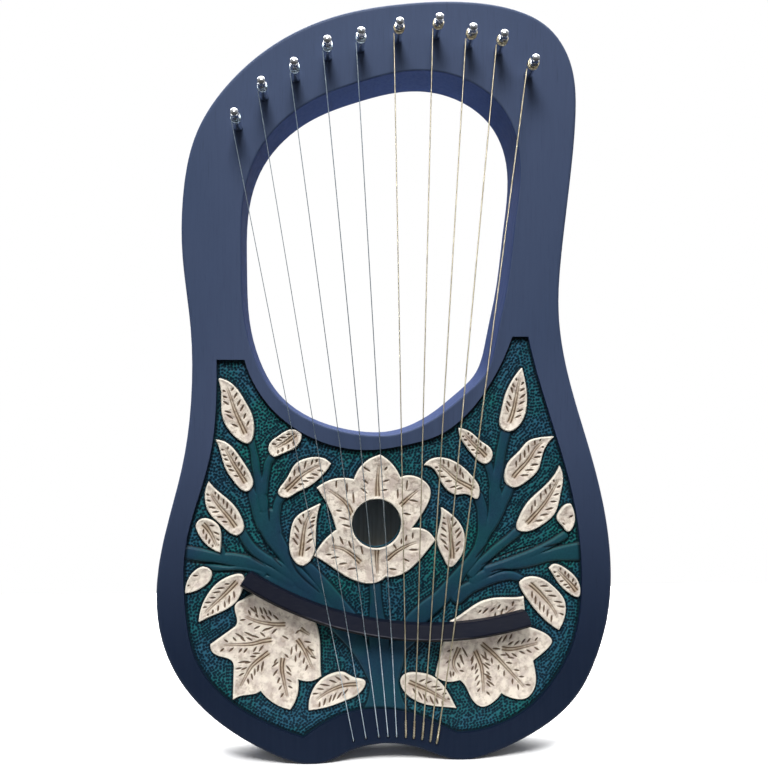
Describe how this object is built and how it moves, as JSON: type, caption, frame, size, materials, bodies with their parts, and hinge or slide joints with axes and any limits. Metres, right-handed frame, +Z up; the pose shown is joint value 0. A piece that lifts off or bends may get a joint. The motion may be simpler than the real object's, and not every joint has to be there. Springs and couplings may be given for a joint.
{
  "type": "lyre",
  "caption": "Wooden lyre: hollow carved soundbox under an oval hand opening, curved bridge, steel and wound strings, and turning pins along the yoke.",
  "frame": {"origin": "under the middle of the whole instrument, on the surface that its two bottom lobes stand on", "axes": "+Z up along the strings towards the yoke, front face with the strings towards -Y, +X to the right as seen from the front"},
  "size_m": [0.2594, 0.0574, 0.4335],
  "materials": {
    "stained_frame": "satin blue-black stain on hardwood",
    "stained_back": "satin blue-black stain on hardwood",
    "carved_soundboard": "teal paint, punched ground and carved branches",
    "painted_carving": "bone-white paint with brown rubbed into the cuts",
    "black_bridge": "black satin lacquer",
    "brace_wood": "bare softwood",
    "nickel_pin": "polished nickel plate",
    "plain_steel_wire": "bright drawn wire",
    "bronze_wound_wire": "bronze wrap on a steel core"
  },
  "bodies": {
    "body": {"back_brace": "brace_wood", "back_plate": "stained_back", "bridge": "black_bridge", "flower_rosette": "painted_carving", "frame": "stained_frame", "leaf_left_1": "painted_carving", "leaf_left_10": "painted_carving", "leaf_left_2": "painted_carving", "leaf_left_3": "painted_carving", "leaf_left_4": "painted_carving", "leaf_left_5": "painted_carving", "leaf_left_6": "painted_carving", "leaf_left_7": "painted_carving", "leaf_left_8": "painted_carving", "leaf_left_9": "painted_carving", "leaf_right_1": "painted_carving", "leaf_right_10": "painted_carving", "leaf_right_2": "painted_carving", "leaf_right_3": "painted_carving", "leaf_right_4": "painted_carving", "leaf_right_5": "painted_carving", "leaf_right_6": "painted_carving", "leaf_right_7": "painted_carving", "leaf_right_8": "painted_carving", "leaf_right_9": "painted_carving", "maple_leaf_left": "painted_carving", "maple_leaf_right": "painted_carving", "soundboard": "carved_soundboard", "soundboard_brace_lower": "brace_wood", "soundboard_brace_upper": "brace_wood", "string_1": "plain_steel_wire", "string_10": "bronze_wound_wire", "string_2": "plain_steel_wire", "string_3": "plain_steel_wire", "string_4": "plain_steel_wire", "string_5": "plain_steel_wire", "string_6": "bronze_wound_wire", "string_7": "bronze_wound_wire", "string_8": "bronze_wound_wire", "string_9": "bronze_wound_wire"},
    "pin_1": {"tuning_pin_1": "nickel_pin", "string_coil_1": "plain_steel_wire"},
    "pin_2": {"tuning_pin_2": "nickel_pin", "string_coil_2": "plain_steel_wire"},
    "pin_3": {"tuning_pin_3": "nickel_pin", "string_coil_3": "plain_steel_wire"},
    "pin_4": {"tuning_pin_4": "nickel_pin", "string_coil_4": "plain_steel_wire"},
    "pin_5": {"tuning_pin_5": "nickel_pin", "string_coil_5": "plain_steel_wire"},
    "pin_6": {"tuning_pin_6": "nickel_pin", "string_coil_6": "bronze_wound_wire"},
    "pin_7": {"tuning_pin_7": "nickel_pin", "string_coil_7": "bronze_wound_wire"},
    "pin_8": {"tuning_pin_8": "nickel_pin", "string_coil_8": "bronze_wound_wire"},
    "pin_9": {"tuning_pin_9": "nickel_pin", "string_coil_9": "bronze_wound_wire"},
    "pin_10": {"tuning_pin_10": "nickel_pin", "string_coil_10": "bronze_wound_wire"}
  },
  "joints": [
    {"name": "pin_1_turn", "type": "hinge", "parent": "body", "child": "pin_1", "pos_m": [-0.084, -0.00733, 0.3586], "axis": [0, -0.9925, 0.1219], "continuous": true},
    {"name": "pin_2_turn", "type": "hinge", "parent": "body", "child": "pin_2", "pos_m": [-0.0696, -0.00733, 0.3759], "axis": [0, -0.9925, 0.1219], "continuous": true},
    {"name": "pin_3_turn", "type": "hinge", "parent": "body", "child": "pin_3", "pos_m": [-0.052, -0.00733, 0.3866], "axis": [0, -0.9925, 0.1219], "continuous": true},
    {"name": "pin_4_turn", "type": "hinge", "parent": "body", "child": "pin_4", "pos_m": [-0.034, -0.00733, 0.399], "axis": [0, -0.9925, 0.1219], "continuous": true},
    {"name": "pin_5_turn", "type": "hinge", "parent": "body", "child": "pin_5", "pos_m": [-0.0156, -0.00733, 0.4041], "axis": [0, -0.9925, 0.1219], "continuous": true},
    {"name": "pin_6_turn", "type": "hinge", "parent": "body", "child": "pin_6", "pos_m": [0.0055, -0.00733, 0.4099], "axis": [0, -0.9925, 0.1219], "continuous": true},
    {"name": "pin_7_turn", "type": "hinge", "parent": "body", "child": "pin_7", "pos_m": [0.0273, -0.00733, 0.4129], "axis": [0, -0.9925, 0.1219], "continuous": true},
    {"name": "pin_8_turn", "type": "hinge", "parent": "body", "child": "pin_8", "pos_m": [0.0459, -0.00733, 0.4079], "axis": [0, -0.9925, 0.1219], "continuous": true},
    {"name": "pin_9_turn", "type": "hinge", "parent": "body", "child": "pin_9", "pos_m": [0.0632, -0.00733, 0.4048], "axis": [0, -0.9925, 0.1219], "continuous": true},
    {"name": "pin_10_turn", "type": "hinge", "parent": "body", "child": "pin_10", "pos_m": [0.0806, -0.00733, 0.3918], "axis": [0, -0.9925, 0.1219], "continuous": true}
  ]
}
